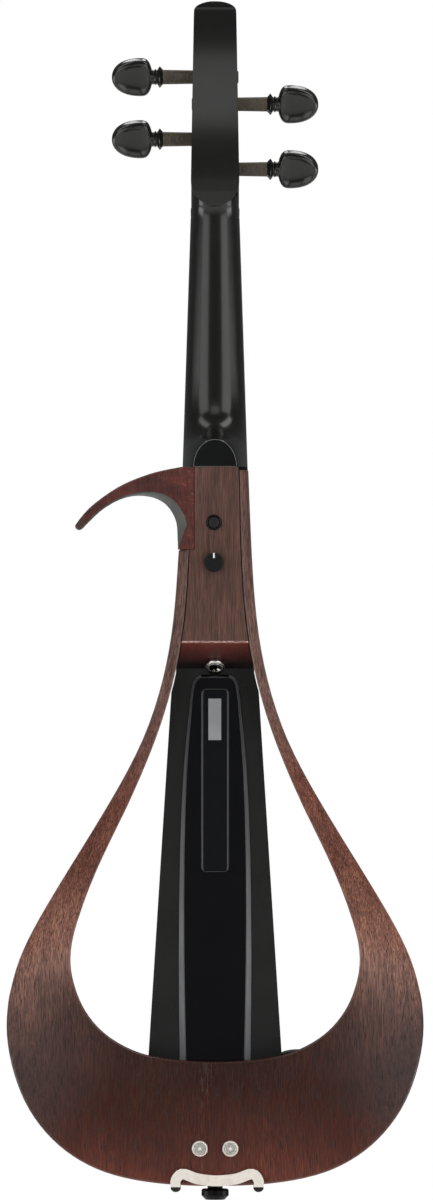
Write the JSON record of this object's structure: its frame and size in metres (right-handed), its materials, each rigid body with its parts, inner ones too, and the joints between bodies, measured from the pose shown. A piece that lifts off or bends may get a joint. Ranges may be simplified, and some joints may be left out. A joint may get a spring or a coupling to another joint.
{
  "type": "electric violin",
  "caption": "Electric violin with a slim black body inside an open teardrop frame of dark wood, with a horn-shaped hand guide, pegs, bridge, tailpiece and clamped chin rest.",
  "frame": {"origin": "middle of the neck just below the head, where a hanger holds the instrument", "axes": "+Z from the tail to the head, +Y from the back to the strings, +X to the bass side"},
  "size_m": [0.2082, 0.0815, 0.5982],
  "materials": {
    "black_lacquer": "satin black lacquer over wood",
    "ebony": "oiled, nearly black",
    "walnut": "open-pored, satin",
    "dark_walnut": "open-pored, satin, reddish brown",
    "mahogany": "red brown, satin",
    "black_body": "painted satin black",
    "top_wood": "painted gloss black",
    "gloss_black": "high gloss",
    "grey_label": "plain plate, nothing on it",
    "black_plastic": "matte",
    "maple": "unvarnished",
    "cork": "cork",
    "nickel": "polished nickel",
    "chrome": "polished",
    "steel": "bright",
    "pickup": "thin metal coat",
    "wire": "soft insulation",
    "gut": "nylon cord"
  },
  "bodies": {
    "instrument": {"neck_and_pegbox": "black_lacquer", "heel_cap": "gloss_black", "fingerboard": "ebony", "nut": "ebony", "frame": "dark_walnut", "rear_block": "walnut", "upper_horn": "mahogany", "body_core": "black_body", "top_plate": "top_wood", "back_cover": "gloss_black", "label_plate": "grey_label", "pot_body": "steel", "switch_bezel": "black_plastic", "switch_body": "black_plastic", "jack_barrel": "chrome", "jack_nut": "chrome", "end_button": "ebony", "saddle": "ebony", "tailgut": "gut", "bridge": "maple", "tailpiece": "black_plastic", "lever_pin": "steel", "clamp_bracket": "nickel", "chin_rest": "black_plastic", "output_wire": "wire", "frame_bolt_treble": "steel", "bolt_cup_treble": "nickel", "bracket_screw_treble": "steel", "rest_cork_treble": "cork", "pickup_treble": "pickup", "pickup_wire_treble": "wire", "frame_bolt_bass": "steel", "bolt_cup_bass": "nickel", "bracket_screw_bass": "steel", "rest_cork_bass": "cork", "pickup_bass": "pickup", "pickup_wire_bass": "wire", "string_e": "steel", "string_a": "steel", "string_d": "steel", "string_g": "steel"},
    "peg_e": {"peg_e": "ebony"},
    "tuner_screw_e": {"tuner_screw_e": "steel"},
    "tuner_lever_e": {"tuner_lever_e": "steel"},
    "peg_a": {"peg_a": "ebony"},
    "tuner_screw_a": {"tuner_screw_a": "steel"},
    "tuner_lever_a": {"tuner_lever_a": "steel"},
    "peg_d": {"peg_d": "ebony"},
    "tuner_screw_d": {"tuner_screw_d": "steel"},
    "tuner_lever_d": {"tuner_lever_d": "steel"},
    "peg_g": {"peg_g": "ebony"},
    "tuner_screw_g": {"tuner_screw_g": "steel"},
    "tuner_lever_g": {"tuner_lever_g": "steel"},
    "volume_knob": {"volume_knob": "black_plastic", "pot_shaft": "steel"},
    "switch_button": {"switch_button": "black_plastic"},
    "clamp_barrel_treble": {"clamp_barrel_treble": "nickel"},
    "clamp_barrel_bass": {"clamp_barrel_bass": "nickel"},
    "clamp_foot": {"clamp_foot": "nickel", "clamp_foot_cork": "cork"}
  },
  "joints": [
    {"name": "peg_g_turn", "type": "hinge", "parent": "instrument", "child": "peg_g", "pos_m": [0, -0.0025, 0.0297], "axis": [1, 0, 0], "continuous": true},
    {"name": "peg_d_turn", "type": "hinge", "parent": "instrument", "child": "peg_d", "pos_m": [0, -0.00433, 0.0621], "axis": [1, 0, 0], "continuous": true},
    {"name": "peg_a_turn", "type": "hinge", "parent": "instrument", "child": "peg_a", "pos_m": [0, -0.0051, 0.0757], "axis": [-1, 0, 0], "continuous": true},
    {"name": "peg_e_turn", "type": "hinge", "parent": "instrument", "child": "peg_e", "pos_m": [0, -0.00335, 0.0447], "axis": [-1, 0, 0], "continuous": true},
    {"name": "tuner_screw_e_travel", "type": "slide", "parent": "instrument", "child": "tuner_screw_e", "axis": [0, -1, 0], "range_m": [0, 0.0026]},
    {"name": "tuner_lever_e_tilt", "type": "hinge", "parent": "instrument", "child": "tuner_lever_e", "pos_m": [-0.0153, 0.02927, -0.3848], "axis": [-1, 0, 0], "range_deg": [0, 18]},
    {"name": "tuner_screw_a_travel", "type": "slide", "parent": "instrument", "child": "tuner_screw_a", "axis": [0, -1, 0], "range_m": [0, 0.0026]},
    {"name": "tuner_lever_a_tilt", "type": "hinge", "parent": "instrument", "child": "tuner_lever_a", "pos_m": [-0.0051, 0.02927, -0.3848], "axis": [-1, 0, 0], "range_deg": [0, 18]},
    {"name": "tuner_screw_d_travel", "type": "slide", "parent": "instrument", "child": "tuner_screw_d", "axis": [0, -1, 0], "range_m": [0, 0.0026]},
    {"name": "tuner_lever_d_tilt", "type": "hinge", "parent": "instrument", "child": "tuner_lever_d", "pos_m": [0.0051, 0.02927, -0.3848], "axis": [-1, 0, 0], "range_deg": [0, 18]},
    {"name": "tuner_screw_g_travel", "type": "slide", "parent": "instrument", "child": "tuner_screw_g", "axis": [0, -1, 0], "range_m": [0, 0.0026]},
    {"name": "tuner_lever_g_tilt", "type": "hinge", "parent": "instrument", "child": "tuner_lever_g", "pos_m": [0.0153, 0.02927, -0.3848], "axis": [-1, 0, 0], "range_deg": [0, 18]},
    {"name": "volume_turn", "type": "hinge", "parent": "instrument", "child": "volume_knob", "pos_m": [-0.0006, -0.024, -0.1666], "axis": [0, 1, 0], "range_deg": [-150, 150]},
    {"name": "switch_press", "type": "slide", "parent": "instrument", "child": "switch_button", "axis": [0, 1, 0], "range_m": [0, 0.0012], "stiffness_N_per_m": 400, "springref_m": -0.0005},
    {"name": "clamp_foot_travel", "type": "slide", "parent": "instrument", "child": "clamp_foot", "axis": [0, -1, 0], "range_m": [0, 0.0042]},
    {"name": "clamp_treble_turn", "type": "hinge", "parent": "instrument", "child": "clamp_barrel_treble", "pos_m": [-0.0196, 0.00075, -0.4782], "axis": [0, 1, 0], "range_deg": [0, 1080]},
    {"name": "clamp_bass_turn", "type": "hinge", "parent": "instrument", "child": "clamp_barrel_bass", "pos_m": [0.0216, 0.00075, -0.4782], "axis": [0, 1, 0], "range_deg": [0, 1080]}
  ],
  "couplings": [
    {"joint": "tuner_lever_e_tilt", "follows": "tuner_screw_e_travel", "rad_per_m": 115},
    {"joint": "tuner_lever_a_tilt", "follows": "tuner_screw_a_travel", "rad_per_m": 115},
    {"joint": "tuner_lever_d_tilt", "follows": "tuner_screw_d_travel", "rad_per_m": 115},
    {"joint": "tuner_lever_g_tilt", "follows": "tuner_screw_g_travel", "rad_per_m": 115},
    {"joint": "clamp_treble_turn", "follows": "clamp_foot_travel", "rad_per_m": 4487.9},
    {"joint": "clamp_bass_turn", "follows": "clamp_foot_travel", "rad_per_m": 4487.9}
  ]
}
